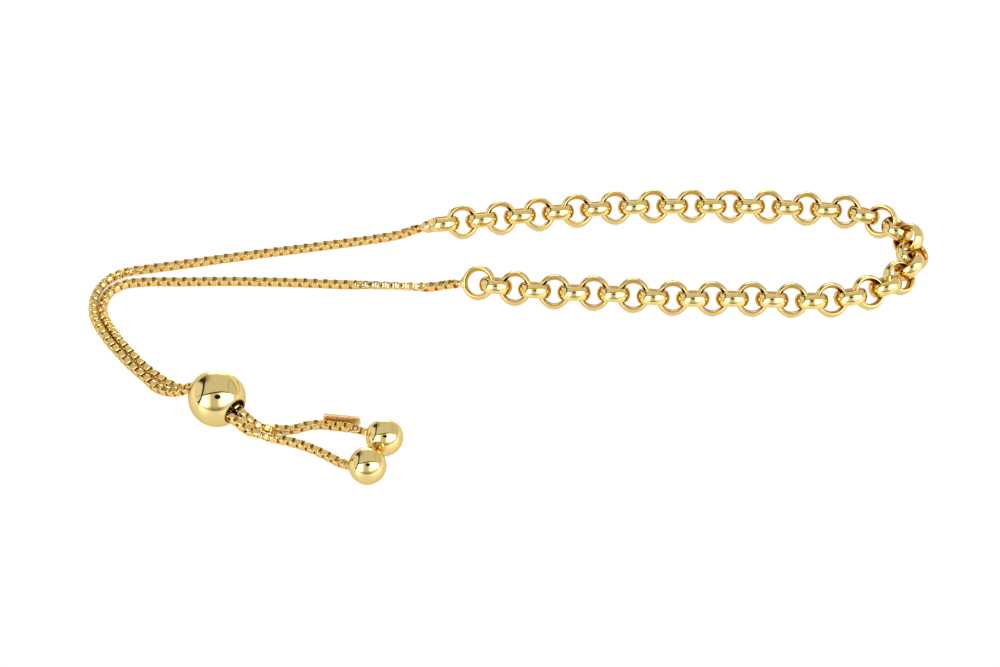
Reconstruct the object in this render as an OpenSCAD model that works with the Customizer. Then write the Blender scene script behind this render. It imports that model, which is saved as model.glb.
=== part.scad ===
// Adjustable bracelet: a rolo chain, two box chain strands, a slider bead, two end balls and a tag.
// It lies closed on a flat surface at Z = 0. Units are millimetres, +Z is up.

/* [Rolo chain] */
// Outer diameter of a round link
link_d = 3.65; // [3.6:0.01:3.68]
// Diameter of the hole in a link
link_hole_d = 2.48; // [2.46:0.01:2.52]
// Width of the link's band
link_w = 1.44; // [1.42:0.01:1.46]
// Radius of the dome on the outside of the band
link_dome_r = 1.0; // [0.98:0.01:1.02]
// Radius of the crown on the inside of the band
link_crown_r = 1.2; // [1.15:0.01:1.25]
// Lean of each link from the upright axis, to alternate sides
link_lean = 45; // [44:0.5:46]
// Distance from one link's centre to the next on the straight
link_pitch = 2.13; // [2.11:0.01:2.15]

/* [Box chain] */
// Width of a box chain strand
strand_w = 0.8; // [0.7:0.01:0.82]
// Longest distance between the rings of a strand's sweep
ring_step = 3.6; // [3:0.2:5]

/* [Slider bead] */
// Diameter of the bead that both strands run through
bead_d = 6; // [5.8:0.1:6.2]
// Diameter of its bore
bead_bore_d = 2.5; // [2.5:0.05:2.8]
// Thickness of its shell
bead_wall = 0.3; // [0.25:0.05:0.4]

/* [End balls and tag] */
// Diameter of the ball at each strand's end
ball_d = 3.9; // [3.7:0.1:3.9]
// Length of the tag plate
tag_l = 3.9; // [3:0.1:4]
// Height of the tag plate
tag_h = 1.4; // [1:0.1:1.5]
// Thickness of the tag plate
tag_t = 0.3; // [0.2:0.05:0.35]
// Radius of the tag's corners
tag_corner_r = 0.4; // [0.2:0.05:0.5]

/* [Hidden] */
$fn = 96;

link_r = link_d / 2;
link_edge_r = link_r - link_dome_r + sqrt(pow(link_dome_r, 2) - pow(link_w / 2, 2));
strand_z = strand_w / 2;

// Path of the rolo chain: runs of links with a distance and a turn to the left from each to the next
ease_pitch = link_pitch - 0.07;
turn_pitch = link_pitch - 0.13;
runs = [
    // links, pitch, turn
    [8, link_pitch, -0.25],
    [4, link_pitch, -1.5],
    [4, link_pitch, -0.4],
    [5, link_pitch, -1.1],
    [3, ease_pitch, -9.8],
    [4, turn_pitch, -23.4],
    [2, ease_pitch, -12.8],
    [4, link_pitch, -7],
    [5, link_pitch, 0.6],
    [3, link_pitch, -2.2],
    [3, link_pitch, 1.6],
    [5, link_pitch, -2],
];
chain_start = [-7.55, 15.75];
chain_heading = 8.75;
// In the turn the links roll over by a few degrees: link number, roll
rolls = [[23, 0], [24, 8], [25, 14], [26, 17], [27, 10], [28, 3], [29, 0]];
// The last link is turned a little towards its strand
last_link_turn = -8;

// Solder between each end link and its strand: a short cone, its base inside the link's wall
solder_base_r = 0.68;
solder_tip_r = 0.34;
solder_start = [[-9.05, 15.5, 1.5], [-9.75, 15.4, 1.32]];
solder_end = [[-5.3, 7.25, 1.52], [-5.95, 7.15, 1.42]];

// Slider bead, end balls and tag
bead_at = [-30.57, -10.18, bead_d / 2];
bead_heading = -42;
ball_front_at = [-14.78, -18.17, ball_d / 2];
ball_back_at = [-13.16, -14.48, ball_d / 2];
tag_at = [-17.7, -11.2];
tag_heading = -7;

// Routes of the strands, from the rolo chain to the balls. A height below the resting one rests.
outer_route = [
    [-9.95, 15.45, 1.25], [-10.8, 15.5, 0.88], [-12, 15.25, 0.55], [-14, 14.8, 0],
    [-21, 13.5, 0], [-28, 12.3, 0], [-35, 11, 0], [-39.6, 10.15, 0], [-41.8, 9.7, 0],
    [-43.3, 9, 0], [-44.4, 7.8, 0], [-45.1, 6.2, 0], [-45.2, 4.4, 0], [-44.9, 3, 0],
    [-43.65, 0.65, 0], [-41.75, -2, 0], [-40.05, -4, 0], [-38.7, -5.35, 0],
    [-37.5, -6.65, 0.45], [-36.8, -7.2, 0.68], [-36.1, -7.65, 0.95], [-35.4, -8, 1.3],
    [-34.8, -8.3, 1.75], [-34.2, -8.45, 2.2], [-33.6, -8.5, 2.6], [-32.95, -8.75, 3.15],
    [-28.8, -12.7, 2.7], [-28.05, -13.1, 2.25], [-27.4, -13.3, 1.65], [-26.6, -13.3, 1.1],
    [-25.55, -13.35, 0.6], [-24.9, -13.4, 0.45], [-23.7, -13.65, 0], [-21.5, -14.4, 0], [-19, -15.75, 0],
    [-17.8, -16.6, 0.5], [-16.65, -17.5, 1.15],
];
inner_route = [
    [-6.2, 7.1, 1.32], [-7, 7.3, 1], [-8.2, 7.4, 0.6], [-10, 7.45, 0],
    [-16, 7.7, 0], [-23, 8.1, 0], [-30, 8.3, 0], [-36, 8.25, 0], [-40.5, 8.15, 0],
    [-42.2, 7.8, 0], [-43.4, 6.9, 0], [-44.1, 5.45, 0], [-44.15, 4.15, 0], [-43.55, 2.4, 0],
    [-42.37, 0.42, 0], [-40.72, -1.72, 0], [-39, -3.72, 0], [-38.15, -4.52, 0],
    [-37.35, -5.2, 0], [-36.55, -5.9, 0.45], [-35.7, -6.55, 0.6], [-35.1, -7, 0.8],
    [-34.45, -7.4, 1.1], [-33.9, -7.6, 1.48], [-33.4, -7.65, 1.8], [-32.5, -8.1, 2.3],
    [-28.3, -11.5, 2.75], [-27.75, -11.9, 2.4], [-27.15, -12.15, 1.85], [-26.4, -12.3, 1.15],
    [-25.85, -12.3, 0.8], [-25.2, -12.25, 0.6], [-24.6, -12.25, 0.45], [-22.8, -12.25, 0], [-21, -11.7, 0], [-20, -11.6, 0],
    [-18.4, -11.8, 0], [-17, -12.05, 0.45], [-15.9, -12.6, 0.75], [-14.8, -13.35, 1.2],
];

// Rolo chain: steps, headings and centres of the links
steps = [for (run = runs) for (i = [1:run[0]]) [run[1], run[2]]];
headings = [for (i = 0, h = chain_heading + steps[0][1]; i < len(steps);
                 i = i + 1, h = i < len(steps) ? h + steps[i][1] : h) h];
centres = [for (i = 0, p = chain_start; i <= len(steps);
                p = i < len(steps) ? p + steps[i][0] * [cos(headings[i]), sin(headings[i])] : p,
                i = i + 1) p];
last = len(centres) - 1;

function link_heading(i) =
    i == last ? headings[last - 1] + last_link_turn :
    (headings[max(i - 1, 0)] + headings[i]) / 2;

function lean_of(i) = (i % 2 == 0 ? link_lean : -link_lean) - lookup(i, rolls);

// Height of a leaning link's centre when it rests on its dome or, past that, on the band's edge
function rest_height(lean) =
    link_dome_r * cos(lean) <= link_w / 2
        ? (link_r - link_dome_r) * sin(lean) + link_dome_r
        : link_edge_r * sin(lean) + link_w / 2 * cos(lean);

// A link's section is the common part of the dome, the crown and the band's width
module link_section() {
    intersection() {
        translate([link_r - link_dome_r, 0]) circle(r = link_dome_r);
        translate([link_hole_d / 2 + link_crown_r, 0]) circle(r = link_crown_r);
        translate([0, -link_w / 2]) square([link_r, link_w]);
    }
}

module link() {
    rotate_extrude() link_section();
}

module place_link(i) {
    translate([centres[i].x, centres[i].y, rest_height(abs(lean_of(i)))])
        rotate([0, 0, link_heading(i)])
            rotate([-lean_of(i), 0, 0])
                children();
}

// Cone between two points
module cone_between(from, to, r1, r2) {
    d = to - from;
    translate(from)
        rotate([0, acos(d.z / norm(d)), atan2(d.y, d.x)])
            cylinder(r1 = r1, r2 = r2, h = norm(d));
}

module soldered_link(i, solder) {
    place_link(i) link();
    cone_between(solder[0], solder[1], solder_base_r, solder_tip_r);
}

module rolo_chain() {
    color("goldenrod") {
        soldered_link(0, solder_start);
        for (i = [1:last - 1]) place_link(i) link();
        soldered_link(last, solder_end);
    }
}

// Smooth curve through a route: a point between two neighbours, by their slopes per length
function rested(p) = [p.x, p.y, max(p.z, strand_z)];

function slope_between(a, b) = (b - a) / norm(b - a);

function slope_at(route, i) =
    i == 0 ? slope_between(route[0], route[1]) :
    i == len(route) - 1 ? slope_between(route[i - 1], route[i]) :
    let (before = norm(route[i] - route[i - 1]), after = norm(route[i + 1] - route[i]))
    (slope_between(route[i], route[i + 1]) * before + slope_between(route[i - 1], route[i]) * after)
    / (before + after);

function curve_point(route, i, t) =
    let (h = norm(route[i + 1] - route[i]))
    route[i] * (1 + 2 * t) * pow(1 - t, 2)
    + slope_at(route, i) * h * t * pow(1 - t, 2)
    + route[i + 1] * t * t * (3 - 2 * t)
    + slope_at(route, i + 1) * h * t * t * (t - 1);

function smooth(route) = [
    for (i = [0:len(route) - 2])
        let (pieces = ceil(norm(route[i + 1] - route[i]) / ring_step))
        for (k = [0:pieces - 1]) rested(curve_point(route, i, k / pieces)),
    route[len(route) - 1],
];

// Eight-sided tube with flat top, bottom and sides along a line of points
tube_sides = 8;

function unit(v) = v / norm(v);

function tube_ring(line, i) =
    let (
        along = unit(line[min(i + 1, len(line) - 1)] - line[max(i - 1, 0)]),
        across = unit(cross([0, 0, 1], along)),
        upward = cross(along, across),
        r = strand_w / 2 / cos(180 / tube_sides)
    )
    [for (k = [0:tube_sides - 1])
        let (a = (k + 0.5) * 360 / tube_sides)
        line[i] + r * (cos(a) * across + sin(a) * upward)];

module tube(line) {
    n = tube_sides;
    last_ring = n * (len(line) - 1);
    polyhedron(
        points = [for (i = [0:len(line) - 1]) each tube_ring(line, i)],
        faces = [
            [for (k = [0:n - 1]) k],
            [for (k = [n - 1:-1:0]) last_ring + k],
            for (i = [0:len(line) - 2]) for (k = [0:n - 1])
                let (a = i * n + k, b = i * n + (k + 1) % n)
                each [[a, a + n, b + n], [a, b + n, b]],
        ]
    );
}

module box_chain_outer() {
    color("gold") tube(smooth([for (p = outer_route) rested(p)]));
}

module box_chain_inner() {
    color("gold") tube(smooth([for (p = inner_route) rested(p)]));
}

module slider_bead() {
    color("gold")
        translate(bead_at)
            rotate([0, 0, bead_heading])
                difference() {
                    sphere(d = bead_d);
                    sphere(d = bead_d - 2 * bead_wall);
                    rotate([0, 90, 0]) cylinder(d = bead_bore_d, h = bead_d, center = true);
                }
}

module end_ball_front() {
    color("gold") translate(ball_front_at) sphere(d = ball_d);
}

module end_ball_back() {
    color("gold") translate(ball_back_at) sphere(d = ball_d);
}

// Plate that stands on its long edge
module tag() {
    color("gold")
        translate([tag_at.x, tag_at.y, tag_h / 2])
            rotate([0, 0, tag_heading])
                rotate([90, 0, 0])
                    linear_extrude(height = tag_t, center = true)
                        union() {
                            square([tag_l - 2 * tag_corner_r, tag_h], center = true);
                            square([tag_l, tag_h - 2 * tag_corner_r], center = true);
                            for (x = [-1, 1]) for (y = [-1, 1])
                                translate([x * (tag_l / 2 - tag_corner_r), y * (tag_h / 2 - tag_corner_r)])
                                    circle(r = tag_corner_r);
                        }
}

rolo_chain();
box_chain_outer();
box_chain_inner();
slider_bead();
end_ball_front();
end_ball_back();
tag();
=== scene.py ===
import bmesh
import bpy
import numpy as np
from math import atan2, cos, degrees, pi, radians, sin, sqrt
from mathutils import Matrix


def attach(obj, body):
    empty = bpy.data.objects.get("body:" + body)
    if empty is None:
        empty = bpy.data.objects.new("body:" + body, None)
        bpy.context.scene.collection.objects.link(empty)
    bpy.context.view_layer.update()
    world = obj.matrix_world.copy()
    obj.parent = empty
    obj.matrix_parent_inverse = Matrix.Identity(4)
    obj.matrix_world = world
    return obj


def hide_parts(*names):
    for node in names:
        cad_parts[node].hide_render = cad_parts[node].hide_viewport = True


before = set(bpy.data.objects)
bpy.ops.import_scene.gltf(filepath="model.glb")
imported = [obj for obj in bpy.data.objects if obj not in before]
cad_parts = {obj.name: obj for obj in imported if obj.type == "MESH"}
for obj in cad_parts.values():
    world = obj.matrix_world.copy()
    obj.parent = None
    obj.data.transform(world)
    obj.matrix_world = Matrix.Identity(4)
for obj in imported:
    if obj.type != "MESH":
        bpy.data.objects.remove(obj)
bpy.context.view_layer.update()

MM = 0.001
rng = np.random.default_rng(7)


# Meshes
def vec(*v):
    return np.array(v, float)


def unit(v):
    return v / np.linalg.norm(v)


def rot(axis, angle):
    return np.array(Matrix.Rotation(radians(angle), 3, axis))


def grid_faces(n_rings, n_round, closed):
    """Quads between rings of n_round points each; closed joins the last ring to the first."""
    i = np.arange(n_rings if closed else n_rings - 1)[:, None]
    k = np.arange(n_round)[None, :]
    j, m = (i + 1) % n_rings, (k + 1) % n_round
    i, k, j, m = np.broadcast_arrays(i, k, j, m)
    quads = np.stack([i * n_round + k, j * n_round + k, j * n_round + m, i * n_round + m], -1)
    return quads.reshape(-1, 4)


def make_object(name, verts_mm, quads, materials, face_material=None):
    """A smooth mesh of quads; face_material gives each face's number in materials."""
    mesh = bpy.data.meshes.new(name)
    verts = np.asarray(verts_mm, np.float32) * MM
    quads = np.asarray(quads, np.int32)
    mesh.vertices.add(len(verts))
    mesh.vertices.foreach_set("co", verts.ravel())
    mesh.loops.add(quads.size)
    mesh.loops.foreach_set("vertex_index", quads.ravel())
    mesh.polygons.add(len(quads))
    mesh.polygons.foreach_set("loop_start", np.arange(0, quads.size, 4, dtype=np.int32))
    for m in materials:
        mesh.materials.append(m)
    if face_material is not None:
        mesh.polygons.foreach_set("material_index", np.asarray(face_material, np.int32))
    mesh.polygons.foreach_set("use_smooth", np.ones(len(quads), bool))
    mesh.update(calc_edges=True)
    mesh.validate()
    obj = bpy.data.objects.new(name, mesh)
    bpy.context.scene.collection.objects.link(obj)
    return obj


def arc(centre, radius, start, end, count):
    """Points of an arc from the angle start to the angle end, in degrees."""
    a = np.radians(np.linspace(start, end, count))
    return np.stack([centre[0] + radius * np.cos(a), centre[1] + radius * np.sin(a)], 1)


# Materials
GOLD_EDGE_TINT = (0.78, 0.70, 0.52, 1)
CLOUD_SCALE = 420.0
DENT_SCALE = 700.0
MARK_DEPTH = 0.004 * MM
DENT_DEPTH = 0.06 * MM


def noise(tree, coord, scale, detail, roughness=0.5):
    node = tree.nodes.new("ShaderNodeTexNoise")
    node.inputs["Scale"].default_value = scale
    node.inputs["Detail"].default_value = detail
    node.inputs["Roughness"].default_value = roughness
    tree.links.new(coord.outputs["Object"], node.inputs["Vector"])
    return node.outputs["Fac"]


def bump(tree, height, strength, distance, under=None):
    node = tree.nodes.new("ShaderNodeBump")
    node.inputs["Strength"].default_value = strength
    node.inputs["Distance"].default_value = distance
    tree.links.new(height, node.inputs["Height"])
    if under is not None:
        tree.links.new(under, node.inputs["Normal"])
    return node.outputs["Normal"]


def gold(name, base, rough, marks_bump=0.25, grain=900.0, dents_bump=0.0, swirl=0.02):
    """Polished yellow gold with faint alloy clouds, fine polishing marks and, where asked for, soft dents."""
    mat = bpy.data.materials.new(name)
    mat.use_nodes = True
    tree = mat.node_tree
    bsdf = tree.nodes["Principled BSDF"]
    bsdf.inputs["Metallic"].default_value = 1.0
    bsdf.inputs["Specular Tint"].default_value = GOLD_EDGE_TINT
    coord = tree.nodes.new("ShaderNodeTexCoord")

    tint = tree.nodes.new("ShaderNodeValToRGB")
    low, high = tint.color_ramp.elements
    low.position, high.position = 0.3, 0.7
    low.color = (*(c * (1 - swirl) for c in base), 1)
    high.color = (*(min(1.0, c * (1 + swirl)) for c in base), 1)
    tree.links.new(noise(tree, coord, CLOUD_SCALE, 4.0), tint.inputs["Fac"])
    tree.links.new(tint.outputs["Color"], bsdf.inputs["Base Color"])

    marks = noise(tree, coord, grain, 6.0, 0.65)
    gloss = tree.nodes.new("ShaderNodeMapRange")
    finest, coarsest = rough * 0.75, rough * 1.3
    for socket, number in (("From Min", 0.3), ("From Max", 0.7), ("To Min", finest), ("To Max", coarsest)):
        gloss.inputs[socket].default_value = number
    tree.links.new(marks, gloss.inputs["Value"])
    tree.links.new(gloss.outputs["Result"], bsdf.inputs["Roughness"])

    normal = bump(tree, marks, marks_bump, MARK_DEPTH)
    if dents_bump:
        normal = bump(tree, noise(tree, coord, DENT_SCALE, 1.0), dents_bump, DENT_DEPTH, normal)
    tree.links.new(normal, bsdf.inputs["Normal"])
    return mat


rolo_gold = gold("rolo_gold_polished", (0.78, 0.60, 0.24), 0.07, dents_bump=0.35)
# Painted shade: the links' crowned inner walls get a darker, redder gold. Their rougher finish is real.
rolo_inside_shade = gold("rolo_gold_inside_painted_shade", (0.66, 0.40, 0.12), 0.14, marks_bump=0.5)
box_gold = gold("box_gold_polished", (0.76, 0.55, 0.205), 0.09, marks_bump=0.5, grain=1600.0)
bead_gold = gold("bead_gold_mirror", (0.775, 0.60, 0.245), 0.045, marks_bump=0.12)
# Painted shade: the inner faces of the box links get a darker, redder gold. Their rougher finish is real.
box_inside_shade = gold("box_gold_inside_painted_shade", (0.68, 0.38, 0.10), 0.22, marks_bump=0.5)
solder_gold = gold("solder_gold", (0.79, 0.55, 0.27), 0.17, marks_bump=0.6)
tag_gold = gold("tag_gold", (0.93, 0.67, 0.36), 0.42, marks_bump=0.3)
# Painted shade: the slider's bore gets a dark brown, rough gold.
bore_painted_shade = gold("slider_bore_dark", (0.20, 0.11, 0.035), 0.5, marks_bump=0.8)


# Rolo chain, in millimetres and degrees
LINK_R, HOLE_R = 1.825, 1.24
DOME_R, CROWN_R = 1.0, 1.2
LINK_W = 1.44
EDGE_R = LINK_R - DOME_R + sqrt(DOME_R ** 2 - (LINK_W / 2) ** 2)
EDGE_ROUND = 0.12
OVAL = 0.07
LEAN = 45
PITCH = 2.13
EASE, TURN = PITCH - 0.07, PITCH - 0.13
CHAIN_START = vec(-7.55, 15.75)
CHAIN_HEADING = 8.75
# Runs of links: how many, their pitch, and the turn from each to the next.
RUNS = [(8, PITCH, -0.25), (4, PITCH, -1.5), (4, PITCH, -0.4), (5, PITCH, -1.1), (3, EASE, -9.8),
        (4, TURN, -23.4), (2, EASE, -12.8), (4, PITCH, -7), (5, PITCH, 0.6), (3, PITCH, -2.2),
        (3, PITCH, 1.6), (5, PITCH, -2)]
LAST_TURN = -8
# The chain rolls over in its turn: link numbers and their roll.
ROLL_AT, ROLL = [23, 24, 25, 26, 27, 28, 29], [0, 8, 14, 17, 10, 3, 0]
# The last link is pushed into its neighbour. All links lie a little uneven and flatter than the lean.
LAST_LINK = sum(n for n, _, _ in RUNS)
LAST_SLACK = vec(0.25, 0, 0)
LINK_WOBBLE = 0.5
SINK_LEAST, SINK_MORE, SINK_FULL_AT = 3, 3.5, 0.7

SEGMENTS = 64
DOME_POINTS, EDGE_POINTS, CROWN_POINTS = 13, 5, 8
DROP_POINTS = 20

# Drops of solder run from link to strand, in the plane of the link with that axis.
FIRST_DROP_FROM, FIRST_DROP_TO = vec(-8.75, 15.55, 1.52), vec(-10.1, 15.42, 1.22)
FIRST_LINK_AXIS = vec(0, 0.67, 0.74)
LAST_DROP_FROM, LAST_DROP_TO = vec(-5.0, 7.06, 1.52), vec(-5.9, 7.10, 1.38)
LAST_LINK_AXIS = vec(0, -0.62, 0.78)
# Their shape: share of the way, half width in the link's plane, half thickness.
FIRST_DROP = [
    (0.0, 0.01, 0.01), (0.0, 0.72, 0.70), (0.1, 0.80, 0.73), (0.3, 0.78, 0.74), (0.5, 0.68, 0.71),
    (0.64, 0.58, 0.62), (0.78, 0.47, 0.49), (0.9, 0.37, 0.38), (1.0, 0.28, 0.28), (1.0, 0.01, 0.01),
]
LAST_DROP = [
    (0.0, 0.01, 0.01), (0.0, 0.80, 0.40), (0.2, 0.76, 0.50), (0.32, 0.66, 0.52), (0.44, 0.53, 0.47),
    (0.55, 0.43, 0.41), (0.67, 0.36, 0.36), (0.84, 0.31, 0.31), (1.0, 0.28, 0.28), (1.0, 0.01, 0.01),
]


def link_places():
    """Centre, heading and lean of every link, as the solids have them."""
    steps = [(p, t) for n, p, t in RUNS for _ in range(n)]
    headings, h = [], CHAIN_HEADING
    for _, t in steps:
        h += t
        headings.append(h)
    points = [CHAIN_START]
    for (p, _), h in zip(steps, headings):
        points.append(points[-1] + p * vec(cos(radians(h)), sin(radians(h))))
    last = len(points) - 1
    places = []
    for i, p in enumerate(points):
        if i == last:
            heading = headings[-1] + LAST_TURN
        else:
            heading = (headings[max(i - 1, 0)] + headings[i]) / 2
        lean = (LEAN if i % 2 == 0 else -LEAN) - np.interp(i, ROLL_AT, ROLL)
        a = radians(abs(lean))
        if DOME_R * cos(a) <= LINK_W / 2:
            z = (LINK_R - DOME_R) * sin(a) + DOME_R
        else:
            z = EDGE_R * sin(a) + LINK_W / 2 * cos(a)
        places.append((vec(p[0], p[1], z), heading, lean))
    return places


def link_section():
    """Half-round wire as points (radius, z): domed outside, crowned inside, its edges polished round."""
    dome_c, crown_c = LINK_R - DOME_R, HOLE_R + CROWN_R
    d = crown_c - dome_c
    rd, rc = DOME_R - EDGE_ROUND, CROWN_R - EDGE_ROUND
    x = (d * d + rd * rd - rc * rc) / (2 * d)
    edge = vec(dome_c + x, sqrt(rd * rd - x * x))
    a_dome = degrees(atan2(edge[1], edge[0] - dome_c))
    a_crown = degrees(atan2(edge[1], edge[0] - crown_c))
    outer = arc((dome_c, 0), DOME_R, -a_dome, a_dome, DOME_POINTS)
    top = arc(edge, EDGE_ROUND, a_dome, a_crown, EDGE_POINTS + 2)[1:-1]
    inner = arc((crown_c, 0), CROWN_R, a_crown, 360 - a_crown, CROWN_POINTS)
    bottom = (top * [1, -1])[::-1]
    section = np.concatenate([outer, top, inner, bottom])
    section[:, 1] *= LINK_W / 2 / section[:, 1].max()
    return section


def link_mesh(section):
    """Points of a link about the z axis; only its outside is a little oval."""
    phi = np.linspace(0, 2 * pi, SEGMENTS, endpoint=False)
    mid = (LINK_R + HOLE_R) / 2
    grow = OVAL * np.sin(phi) ** 2
    outside = np.clip((section[:, 0] - HOLE_R) / (mid - HOLE_R), 0, 1)
    r = section[None, :, 0] + grow[:, None] * outside[None, :]
    z = np.broadcast_to(section[None, :, 1], r.shape)
    pts = np.stack([r * np.cos(phi)[:, None], r * np.sin(phi)[:, None], z], -1)
    return pts.reshape(-1, 3)


def solder_drop(start, end, link_axis, shape):
    """A drop of solder from start to end in the plane of a link, drawn in to a point at both ends."""
    along = end - start
    heading = unit(along)
    across = unit(np.cross(link_axis, heading))
    up = np.cross(heading, across)
    a = np.linspace(0, 2 * pi, DROP_POINTS, endpoint=False)[:, None]
    rings = [start + along * share + wide * np.cos(a) * across + thick * np.sin(a) * up
             for share, wide, thick in shape]
    return np.concatenate(rings), grid_faces(len(shape), DROP_POINTS, False)


def build_rolo_chain():
    materials = [rolo_gold, solder_gold, rolo_inside_shade]
    section = link_section()
    base = link_mesh(section)
    faces = grid_faces(SEGMENTS, len(section), True)[:, ::-1]
    # The crowned inside of each link takes the inside gold, which is painted shade.
    crown_from = DOME_POINTS + EDGE_POINTS - 1
    at = np.arange(len(faces)) % len(section)
    on_crown = (at >= crown_from) & (at <= crown_from + CROWN_POINTS)
    link_slots = np.where(on_crown, materials.index(rolo_inside_shade), materials.index(rolo_gold))
    verts, quads, slots = [], [], []
    count = 0
    for i, (p, heading, lean) in enumerate(link_places()):
        wobble = rot("X", rng.normal(0, LINK_WOBBLE)) @ rot("Y", rng.normal(0, LINK_WOBBLE))
        # The loose links have sunk a little flatter, most where they face the front.
        towards_front = -(rot("Z", heading) @ rot("X", -lean))[1, 2]
        sink = SINK_LEAST + SINK_MORE * np.clip(towards_front / SINK_FULL_AT, 0, 1)
        m = rot("Z", heading) @ rot("X", -lean * (1 - sink / LEAN)) @ wobble
        if i == LAST_LINK:
            p = p + LAST_SLACK
        verts.append(base @ m.T + p)
        quads.append(faces + count)
        slots.append(link_slots)
        count += len(base)
    first = solder_drop(FIRST_DROP_FROM, FIRST_DROP_TO, FIRST_LINK_AXIS, FIRST_DROP)
    last = solder_drop(LAST_DROP_FROM, LAST_DROP_TO, LAST_LINK_AXIS, LAST_DROP)
    for drop_verts, drop_faces in (first, last):
        verts.append(drop_verts)
        quads.append(drop_faces + count)
        slots.append(np.full(len(drop_faces), materials.index(solder_gold)))
        count += len(drop_verts)
    return make_object("rolo_chain_fine", np.concatenate(verts), np.concatenate(quads), materials,
                       np.concatenate(slots))


# Box chain strands, in millimetres and degrees
STRAND_W = 0.80
REST_Z = STRAND_W / 2
LINK_LONG = 0.88
PLATE_W, BAR_W, STRIP_T = 0.72, 0.62, 0.09
STRIP_CORNER, STRIP_CHAMFER, STRIP_BELLY = 0.21, 0.028, 0.008
ROLL_SPREAD, TILT_SPREAD = 2.2, 1.8
HEADING_REACH = 0.3
# The solids' own route points (x, y, z); a z under the strand's half width means that it lies down.
OUTER_ROUTE = [
    (-9.95, 15.45, 1.25), (-10.8, 15.5, 0.88), (-12, 15.25, 0.55), (-14, 14.8, 0),
    (-21, 13.5, 0), (-28, 12.3, 0), (-35, 11, 0), (-39.6, 10.15, 0), (-41.8, 9.7, 0),
    (-43.3, 9, 0), (-44.4, 7.8, 0), (-45.1, 6.2, 0), (-45.2, 4.4, 0), (-44.9, 3, 0),
    (-43.65, 0.65, 0), (-41.75, -2, 0), (-40.05, -4, 0), (-38.7, -5.35, 0),
    (-37.5, -6.65, 0.45), (-36.8, -7.2, 0.68), (-36.1, -7.65, 0.95), (-35.4, -8, 1.3),
    (-34.8, -8.3, 1.75), (-34.2, -8.45, 2.2), (-33.6, -8.5, 2.6), (-32.95, -8.75, 3.15),
    (-28.8, -12.7, 2.7), (-28.05, -13.1, 2.25), (-27.4, -13.3, 1.65), (-26.6, -13.3, 1.1),
    (-25.55, -13.35, 0.6), (-24.9, -13.4, 0.45), (-23.7, -13.65, 0), (-21.5, -14.4, 0), (-19, -15.75, 0),
    (-17.8, -16.6, 0.5), (-16.65, -17.5, 1.15),
]
INNER_ROUTE = [
    (-6.2, 7.1, 1.32), (-7, 7.3, 1), (-8.2, 7.4, 0.6), (-10, 7.45, 0),
    (-16, 7.7, 0), (-23, 8.1, 0), (-30, 8.3, 0), (-36, 8.25, 0), (-40.5, 8.15, 0),
    (-42.2, 7.8, 0), (-43.4, 6.9, 0), (-44.1, 5.45, 0), (-44.15, 4.15, 0), (-43.55, 2.4, 0),
    (-42.37, 0.42, 0), (-40.72, -1.72, 0), (-39, -3.72, 0), (-38.15, -4.52, 0),
    (-37.35, -5.2, 0), (-36.55, -5.9, 0.45), (-35.7, -6.55, 0.6), (-35.1, -7, 0.8),
    (-34.45, -7.4, 1.1), (-33.9, -7.6, 1.48), (-33.4, -7.65, 1.8), (-32.5, -8.1, 2.3),
    (-28.3, -11.5, 2.75), (-27.75, -11.9, 2.4), (-27.15, -12.15, 1.85), (-26.4, -12.3, 1.15),
    (-25.85, -12.3, 0.8), (-25.2, -12.25, 0.6), (-24.6, -12.25, 0.45), (-22.8, -12.25, 0),
    (-21, -11.7, 0), (-20, -11.6, 0), (-18.4, -11.8, 0), (-17, -12.05, 0.45),
    (-15.9, -12.6, 0.75), (-14.8, -13.35, 1.2),
]


def smooth_route(route, per_piece=24):
    """The solids' own curve, of Hermite pieces with each slope taken per length: points and route numbers."""
    p = np.array(route, float)
    p[:, 2] = np.maximum(p[:, 2], REST_Z)
    length = np.linalg.norm(np.diff(p, axis=0), axis=1)
    slope = np.diff(p, axis=0) / length[:, None]
    tangent = np.empty_like(p)
    tangent[0], tangent[-1] = slope[0], slope[-1]
    before, after = length[:-1, None], length[1:, None]
    tangent[1:-1] = (slope[1:] * before + slope[:-1] * after) / (before + after)
    points, number = [], []
    for i, h in enumerate(length):
        for t in np.linspace(0, 1, per_piece, endpoint=False):
            points.append(p[i] * (1 + 2 * t) * (1 - t) ** 2 + tangent[i] * h * t * (1 - t) ** 2
                          + p[i + 1] * t * t * (3 - 2 * t) + tangent[i + 1] * h * t * t * (t - 1))
            number.append(i + t)
    points.append(p[-1])
    number.append(len(length))
    points = np.array(points)
    points[:, 2] = np.maximum(points[:, 2], REST_Z)
    return points, np.array(number, float)


def box_link():
    """One box link: a strip bent into a rounded square about the local y axis, its long side along x.

    Returns its points, the number of sections, the points of a section, and the first face on the inside.
    """
    a, b, corner, belly = LINK_LONG / 2, STRAND_W / 2, STRIP_CORNER, STRIP_BELLY
    path = []
    for cx, cz, start in ((1, 1, 0), (-1, 1, 90), (-1, -1, 180), (1, -1, 270)):
        for turn in (0, 22.5, 45, 67.5, 90):
            nx, nz = cos(radians(start + turn)), sin(radians(start + turn))
            path.append((cx * (a - corner) + corner * nx, cz * (b - corner) + corner * nz, nx, nz, BAR_W))
        nx, nz = round(nx), round(nz)
        far = (b if nz else a) + belly
        half = (a if nz else b) - corner
        width = PLATE_W if nz else BAR_W
        for f in (0.45, -0.45):
            path.append((nx * far + nz * f * half, nz * far - nx * f * half, nx, nz, width))
    t, e = STRIP_T, STRIP_CHAMFER
    pts = []
    for x, z, nx, nz, width in path:
        w = width / 2
        outside = [(-w, -t + e), (-w, -e), (-w + e, 0), (-w * 0.35, belly), (w * 0.35, belly), (w - e, 0),
                   (w, -e)]
        inside = [(w, -t + e), (w - e, -t), (-w + e, -t)]
        for u, v in outside + inside:
            pts.append((x + nx * v, u, z + nz * v))
    return np.array(pts), len(path), len(outside + inside), len(outside)


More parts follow.
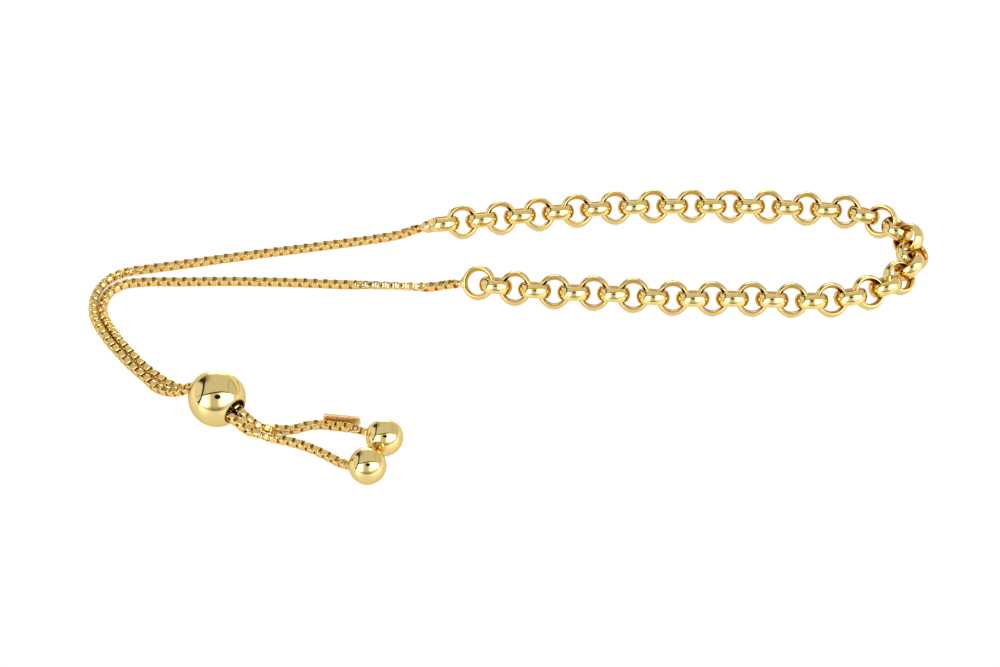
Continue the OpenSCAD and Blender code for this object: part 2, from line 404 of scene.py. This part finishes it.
def build_box_chain(name, route, pitches, rolls, start, spare):
    """Links along the route, every other one turned a quarter.

    pitches and rolls go by route number. The first link lies start links in, and spare links are added.
    """
    points, number = smooth_route(route)
    s = np.concatenate([[0], np.cumsum(np.linalg.norm(np.diff(points, axis=0), axis=1))])
    pitch_s = np.interp(number, *zip(*pitches))
    roll_s = np.interp(number, *zip(*rolls))
    count_s = np.concatenate([[0], np.cumsum(np.diff(s) / ((pitch_s[1:] + pitch_s[:-1]) / 2))])
    total = int(round(count_s[-1] + spare))
    base, n_path, n_strip, inside_from = box_link()
    faces = grid_faces(n_path, n_strip, True)
    # The inner faces of each strip take the inside gold, which is painted shade in the gaps between the
    # links.
    inside = (np.arange(len(faces)) % n_strip >= inside_from).astype(int)
    verts, quads = [], []

    def place(q):
        """The point at the length q, also a little before the start and after the end."""
        after = max(0.0, q - s[-1])
        before = min(0.0, q)
        p = np.array([np.interp(q, s, points[:, j]) for j in range(3)])
        return p + after * unit(points[-1] - points[-2]) + before * unit(points[1] - points[0])

    for k in range(total + 1):
        c = start + k
        at = np.interp(c, count_s, s)
        if c > count_s[-1]:
            at = s[-1] + (c - count_s[-1]) * pitch_s[-1]
        p = place(at)
        along = unit(place(at + HEADING_REACH) - place(at - HEADING_REACH))
        across = unit(np.cross(vec(0, 0, 1), along))
        up = np.cross(along, across)
        roll = np.interp(at, s, roll_s)
        # A twisted strand rests on its corner.
        flat, steep = sorted((abs(sin(radians(roll))), abs(cos(radians(roll)))))
        p[2] = max(p[2], steep * STRAND_W / 2 + flat * PLATE_W / 2)
        roll += rng.normal(0, ROLL_SPREAD) + (90 if k % 2 else 0)
        ca, sa = cos(radians(roll)), sin(radians(roll))
        y_axis, z_axis = ca * across + sa * up, -sa * across + ca * up
        tilt = rot("Y", rng.normal(0, TILT_SPREAD)) @ rot("Z", rng.normal(0, TILT_SPREAD))
        m = np.stack([along, y_axis, z_axis], 1) @ tilt
        verts.append(base @ m.T + p)
        quads.append(faces + k * len(base))
    return make_object(name, np.concatenate(verts), np.concatenate(quads), [box_gold, box_inside_shade],
                       np.tile(inside, total + 1))


# Bead, balls and tag, in millimetres and degrees
def lathe(profile, rounds, heading, centre, pitch=0.0):
    """Turns a closed profile of (radius, x) points about the local x axis."""
    a = np.linspace(0, 2 * pi, rounds, endpoint=False)
    r, x = profile[:, 0], profile[:, 1]
    pts = np.stack([np.broadcast_to(x, (rounds, len(x))), r * np.cos(a)[:, None], r * np.sin(a)[:, None]], -1)
    m = rot("Z", heading) @ rot("Y", pitch)
    return pts.reshape(-1, 3) @ m.T + centre, grid_faces(rounds, len(profile), True)


BEAD_R, BORE_R, BEAD_WALL, BEAD_LIP = 3.0, 1.25, 0.3, 0.13
BEAD_AT, BEAD_HEADING = vec(-30.57, -10.18, 3.0), -42
BALL_R = 1.95
BALL_HOLE_R, BALL_HOLE_DEEP, BALL_LIP = 0.5, 0.9, 0.06
BALL_FRONT_AT, BALL_BACK_AT = vec(-14.78, -18.17, 1.95), vec(-13.16, -14.48, 1.95)
TAG_L, TAG_H, TAG_T, TAG_CORNER = 3.9, 1.4, 0.3, 0.4
TAG_SOFT = 0.07
TAG_AT, TAG_HEADING = vec(-17.7, -11.2, TAG_H / 2), -7


def build_slider():
    """Hollow shell with a bore; the metal is rolled in round the two mouths."""
    # The centre of the round lip is tangent to the outer sphere and to the bore.
    lip_r = BORE_R + BEAD_LIP
    lip_x = sqrt((BEAD_R - BEAD_LIP) ** 2 - lip_r ** 2)
    a_out = degrees(atan2(lip_r, lip_x))
    outer = arc((0, 0), BEAD_R, a_out, 180 - a_out, 56)[:, ::-1]
    right_lip = arc((lip_x, lip_r), BEAD_LIP, a_out, -180 + a_out, 9)[1:-1][:, ::-1]
    left_lip = right_lip[::-1] * [1, -1]
    inner_r, mouth_r = BEAD_R - BEAD_WALL, BORE_R + 2 * BEAD_LIP
    a_in = degrees(atan2(mouth_r, sqrt(inner_r ** 2 - mouth_r ** 2)))
    inner = arc((0, 0), inner_r, 180 - a_in, a_in, 28)[:, ::-1]
    profile = np.concatenate([outer, left_lip, inner, right_lip])
    verts, faces = lathe(profile, 128, BEAD_HEADING, BEAD_AT)
    # The shell's inner wall takes the dark bore gold, which is painted shade in the bore. The rolled lips
    # stay polished.
    at = np.arange(len(faces)) % len(profile)
    half_lip = 4
    inside = (at >= len(outer) + half_lip) & (at < len(profile) - half_lip)
    return make_object("slider_bead_fine", verts, faces, [bead_gold, bore_painted_shade], inside.astype(int))


def build_ball(name, centre, towards):
    """Ball with a small countersunk hole where the strand's last link goes in."""
    d = towards - centre
    heading = degrees(atan2(d[1], d[0]))
    pitch = -degrees(atan2(d[2], sqrt(d[0] ** 2 + d[1] ** 2)))
    lip_r = BALL_HOLE_R + BALL_LIP
    lip_x = sqrt((BALL_R - BALL_LIP) ** 2 - lip_r ** 2)
    a_out = degrees(atan2(lip_r, lip_x))
    almost_behind = 179.2
    outer = arc((0, 0), BALL_R, a_out, almost_behind, 60)[:, ::-1]
    rim = arc((lip_x, lip_r), BALL_LIP, -90, a_out, 5)[:-1][:, ::-1]
    floor_x = lip_x - BALL_HOLE_DEEP
    well = [(0.01, floor_x), (BALL_HOLE_R * 0.8, floor_x), (BALL_HOLE_R, floor_x + 0.1)]
    profile = np.concatenate([outer, [(0.004, -BALL_R)], well, rim])
    verts, faces = lathe(profile, 96, heading, centre, pitch)
    return make_object(name, verts, faces, [bead_gold])


def build_tag():
    """Plate on its long edge with rounded corners and softened rims."""
    outline = []
    for cx, cz, start in ((1, 1, 0), (-1, 1, 90), (-1, -1, 180), (1, -1, 270)):
        for ang in np.linspace(0, 90, 7):
            d = radians(start + ang)
            outline.append((cx * (TAG_L / 2 - TAG_CORNER), cz * (TAG_H / 2 - TAG_CORNER), cos(d), sin(d)))
    y, soft, eased, flat = TAG_T / 2, TAG_SOFT, TAG_SOFT * 0.3, 0.001
    layers = [(-y, flat), (-y, TAG_CORNER * 0.55), (-y, TAG_CORNER - soft), (-y + eased, TAG_CORNER - eased),
              (-y + soft, TAG_CORNER), (y - soft, TAG_CORNER), (y - eased, TAG_CORNER - eased),
              (y, TAG_CORNER - soft), (y, TAG_CORNER * 0.55), (y, flat)]
    n = len(outline)
    pts = np.array([(cx + r * nx, yy, cz + r * nz) for yy, r in layers for cx, cz, nx, nz in outline])
    obj = make_object("tag_fine", pts @ rot("Z", TAG_HEADING).T + TAG_AT, grid_faces(len(layers), n, False),
                      [tag_gold])
    bm = bmesh.new()
    bm.from_mesh(obj.data)
    bm.verts.ensure_lookup_table()
    last_layer = len(bm.verts) - n
    for cap in (range(n - 1, -1, -1), range(last_layer, last_layer + n)):
        bm.faces.new([bm.verts[i] for i in cap]).smooth = True
    bm.to_mesh(obj.data)
    bm.free()
    return obj


def turn_outward(obj):
    """Turns the faces outwards."""
    bm = bmesh.new()
    bm.from_mesh(obj.data)
    bmesh.ops.recalc_face_normals(bm, faces=bm.faces)
    bm.to_mesh(obj.data)
    bm.free()


# Pitch and roll of the box links by route number.
OUTER_PITCH = [(0, 0.55), (8, 0.55), (9, 0.50), (14, 0.50), (15, 0.55), (25, 0.55), (26, 0.522), (36, 0.522)]
INNER_PITCH = [(0, 0.55), (8, 0.55), (9, 0.50), (14, 0.50), (15, 0.55), (24, 0.55), (26, 0.522), (39, 0.522)]
OUTER_ROLL = [
    (0, 0), (7, 0), (9, 20), (10.5, 45), (12, 62), (13.5, 75), (15, 90), (28, 90), (32.1, 180), (36, 180),
]
INNER_ROLL = [
    (0, 0), (2.5, 0), (3.2, 45), (3.9, 60), (4.3, 90), (8, 90), (10, 108), (11.5, 120), (12.5, 130),
    (14, 165), (15, 180), (27.5, 180), (32.7, 270), (36.7, 270), (38.5, 315), (39, 320),
]
# Start and spare of each strand, counted in links.
OUTER_ENDS = (0.85, -0.45)
INNER_ENDS = (0.0, 0.4)

rolo = build_rolo_chain()
outer = build_box_chain("box_chain_outer_links", OUTER_ROUTE, OUTER_PITCH, OUTER_ROLL, *OUTER_ENDS)
inner = build_box_chain("box_chain_inner_links", INNER_ROUTE, INNER_PITCH, INNER_ROLL, *INNER_ENDS)
slider = build_slider()
ball_front = build_ball("end_ball_front_fine", BALL_FRONT_AT, vec(*OUTER_ROUTE[-1]))
ball_back = build_ball("end_ball_back_fine", BALL_BACK_AT, vec(*INNER_ROUTE[-1]))
tag = build_tag()

for obj, node, slot in (
    (rolo, "rolo_chain", "rolo_gold"),
    (outer, "box_chain_outer", "box_gold"),
    (inner, "box_chain_inner", "box_gold"),
    (slider, "slider_bead", "bead_gold"),
    (ball_front, "end_ball_front", "bead_gold"),
    (ball_back, "end_ball_back", "bead_gold"),
    (tag, "tag", "bead_gold"),
):
    turn_outward(obj)
    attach(obj, "root")
    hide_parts(node)


# Stage, light and camera, in metres and degrees
def plain(name, color, rough=0.9, specular=0.0):
    mat = bpy.data.materials.new(name)
    mat.use_nodes = True
    bsdf = mat.node_tree.nodes["Principled BSDF"]
    bsdf.inputs["Base Color"].default_value = (*color, 1)
    bsdf.inputs["Roughness"].default_value = rough
    bsdf.inputs["Specular IOR Level"].default_value = specular
    bsdf.inputs["Emission Color"].default_value = (1, 1, 1, 1)
    bsdf.inputs["Emission Strength"].default_value = 0.0
    return mat


def stage_sheet(name, outline, location, rotation, material):
    """A flat sheet of the stage with that outline in its own plane."""
    mesh = bpy.data.meshes.new(name)
    mesh.from_pydata([(x, y, 0) for x, y in outline], [], [tuple(range(len(outline)))])
    mesh.materials.append(material)
    obj = bpy.data.objects.new(name, mesh)
    obj.location = location
    obj.rotation_euler = rotation
    bpy.context.scene.collection.objects.link(obj)
    return obj


def computed(tree, operation, *values):
    """A math node of the tree; each value is a number or another node's output."""
    node = tree.nodes.new("ShaderNodeMath")
    node.operation = operation
    for socket, value in zip(node.inputs, values):
        if isinstance(value, (int, float)):
            socket.default_value = value
        else:
            tree.links.new(value, socket)
    return node.outputs["Value"]


def eased(tree, value, low, high, to_low, to_high):
    """The value carried smoothly from the range low to high over to the range to_low to to_high."""
    node = tree.nodes.new("ShaderNodeMapRange")
    node.interpolation_type = "SMOOTHSTEP"
    for socket, number in (("From Min", low), ("From Max", high), ("To Min", to_low), ("To Max", to_high)):
        node.inputs[socket].default_value = number
    tree.links.new(value, node.inputs["Value"])
    return node.outputs["Result"]


def make_floor_white():
    """Glows evenly under the bracelet and fades in front of it. Painted shade dims it only where it is closed
    in.

    Looked at flatly towards the back, where the low light is, it shines with a painted reflection of that
    light; from above it is plain white.
    """
    mat = plain("floor_white", (0.1, 0.1, 0.1), rough=0.32, specular=0.28)
    tree = mat.node_tree

    def split(node_type, output):
        node = tree.nodes.new("ShaderNodeSeparateXYZ")
        tree.links.new(tree.nodes.new(node_type).outputs[output], node.inputs["Vector"])
        return node.outputs

    near = tree.nodes.new("ShaderNodeAmbientOcclusion")
    near.samples = 3
    near.inputs["Distance"].default_value = 0.9 * MM
    place = split("ShaderNodeTexCoord", "Object")
    sight = split("ShaderNodeNewGeometry", "Incoming")

    aside = computed(tree, "ABSOLUTE", computed(tree, "DIVIDE", sight["X"], sight["Y"]))
    # Painted reflection of the low light behind: seen flatly towards the back, the floor glows brighter
    # towards the left.
    low_light_sheen = eased(tree, place["X"], 0.002, -0.012, -0.3, 4.0)
    flatly = eased(tree, sight["Z"], 0.68, 0.50, 0.0, 1.0)
    from_above = eased(tree, sight["Z"], 0.50, 0.68, 0.0, 0.2)
    to_the_back = eased(tree, sight["Y"], -0.25, -0.5, 0.0, 1.0)
    straight = eased(tree, aside, 0.42, 0.15, 0.0, 1.0)
    backward = computed(tree, "MULTIPLY", to_the_back, straight)
    shine = computed(tree, "ADD", computed(tree, "MULTIPLY", low_light_sheen, flatly), from_above)
    shine = computed(tree, "ADD", computed(tree, "MULTIPLY", shine, backward), 1.0)
    # Painted shade: the glow is dimmed where ambient occlusion finds the floor closed in, in the chains'
    # holes and between the strands.
    open_to_light = eased(tree, near.outputs["AO"], 0.02, 0.20, 0.06, 1.0)
    not_in_front = eased(tree, place["Y"], -0.11, -0.042, 0.3, 0.88)
    glow = computed(tree, "MULTIPLY", open_to_light, not_in_front)
    strength = computed(tree, "MULTIPLY", glow, shine)
    tree.links.new(strength, tree.nodes["Principled BSDF"].inputs["Emission Strength"])
    return mat


FLOOR_HALF = 3
FLOOR_DROP = 0.06 * MM
floor_corners = [(x * FLOOR_HALF, y * FLOOR_HALF) for x, y in ((-1, -1), (1, -1), (1, 1), (-1, 1))]
stage_sheet("floor", floor_corners, (0, 0, -FLOOR_DROP), (0, 0, 0), make_floor_white())

CAMERA_AT = (-0.0013, -0.17724, 0.20888)
CAMERA_TURN = (radians(40.5), 0, 0)

# The dark front of the lens is seen only in the gold.
LENS_AT = (0.0107, -0.164, 0.229)
LENS_HALF_WIDE, LENS_HALF_HIGH, LENS_POINTS = 0.062, 0.045, 48
lens_angles = [2 * pi * k / LENS_POINTS for k in range(LENS_POINTS)]
lens_outline = [(LENS_HALF_WIDE * cos(a), LENS_HALF_HIGH * sin(a)) for a in lens_angles]
lens = stage_sheet("lens_front", lens_outline, LENS_AT, CAMERA_TURN, plain("lens_dark", (0.01, 0.01, 0.01)))
lens.visible_camera = lens.visible_diffuse = lens.visible_shadow = False

world = bpy.data.worlds.new("studio")
bpy.context.scene.world = world
world.use_nodes = True
sky = world.node_tree
background = sky.nodes["Background"]
ray = sky.nodes.new("ShaderNodeTexCoord")
direction = sky.nodes.new("ShaderNodeSeparateXYZ")
sky.links.new(ray.outputs["Generated"], direction.inputs["Vector"])

# over: 0 level towards the viewer, 90 straight up, 180 level behind. side: degrees to the right.
TO_DEGREES = 180 / pi
forward = computed(sky, "MULTIPLY", direction.outputs["Y"], -1.0)
over = computed(sky, "MULTIPLY", computed(sky, "ARCTAN2", direction.outputs["Z"], forward), TO_DEGREES)
side = computed(sky, "MULTIPLY", computed(sky, "ARCSINE", direction.outputs["X"]), TO_DEGREES)

# The ceiling's front edge runs a little uphill to the right. Its side edges lean in towards the back.
front_edge = computed(sky, "SUBTRACT", over, computed(sky, "MULTIPLY", side, 0.16))
left_edge = computed(sky, "ADD", computed(sky, "SUBTRACT", side, computed(sky, "MULTIPLY", over, 0.25)), 72.5)
right_edge = computed(sky, "SUBTRACT", computed(sky, "ADD", side, computed(sky, "MULTIPLY", over, 0.3)), 78.0)


def window(value, low, high, soft_low, soft_high):
    """1 between low and high, 0 outside, with a soft edge at each."""
    above = eased(sky, value, low - soft_low, low + soft_low, 0, 1)
    below = eased(sky, value, high - soft_high, high + soft_high, 1, 0)
    return computed(sky, "MULTIPLY", above, below)


def mixed(light, panel, mask):
    """The surroundings with a soft-edged panel of that brightness mixed in."""
    rest = computed(sky, "MULTIPLY", light, computed(sky, "SUBTRACT", 1.0, mask))
    return computed(sky, "ADD", rest, computed(sky, "MULTIPLY", panel, mask))


# Each panel: brightness; then the measure, low, high and the two soft edges, first upwards and then sideways.
PANELS = {
    "ceiling": (0.80, (over, 60, 170, 4, 8), (side, -90, 78, 1, 6)),
    "front wall": (0.76, (front_edge, 2, 71, 3, 2), (side, -64, 76, 3, 5)),
    "left window": (4.2, (front_edge, 16, 69, 8, 2), (side, -62, -28, 3, 14)),
    "right window": (4.2, (front_edge, 13, 70, 10, 2), (side, 20, 74, 16, 4)),
    "low darker band": (0.32, (over, -6, 12, 3, 9), (side, -22, 26, 12, 14)),
    "left wall": (1.0, (over, 80, 172, 4, 6), (left_edge, -90, 0, 1, 1)),
    "far left corner": (0.04, (over, 130, 176, 16, 5), (side, -47, -26, 4, 16)),
    "front frame": (0.02, (front_edge, 70, 75.5, 1.5, 1.5), (side, -52, 48, 2, 8)),
    "left frame": (0.03, (over, -2, 158, 4, 4), (left_edge, -4, 4.5, 2, 2)),
    "right frame": (0.62, (over, 80, 150, 6, 10), (right_edge, -3, 3, 2, 2)),
    "far right edge": (0.55, (over, 154, 162, 3, 3), (side, 34, 76, 10, 4)),
    "low light behind": (4.4, (over, 166, 186, 8, 3), (side, -16, 12, 7, 7)),
}
light = 1.0
for panel, upwards, sideways in PANELS.values():
    light = mixed(light, panel, computed(sky, "MULTIPLY", window(*upwards), window(*sideways)))
sky.links.new(light, background.inputs["Strength"])
background.inputs["Color"].default_value = (1, 1, 1, 1)

cam_data = bpy.data.cameras.new("camera")
cam_data.lens = 92.24
cam_data.sensor_width = 36
cam_data.clip_start = 0.01
cam = bpy.data.objects.new("camera", cam_data)
cam.location = CAMERA_AT
cam.rotation_euler = CAMERA_TURN
bpy.context.scene.collection.objects.link(cam)
bpy.context.scene.camera = cam

bpy.context.scene.view_settings.view_transform = "Standard"
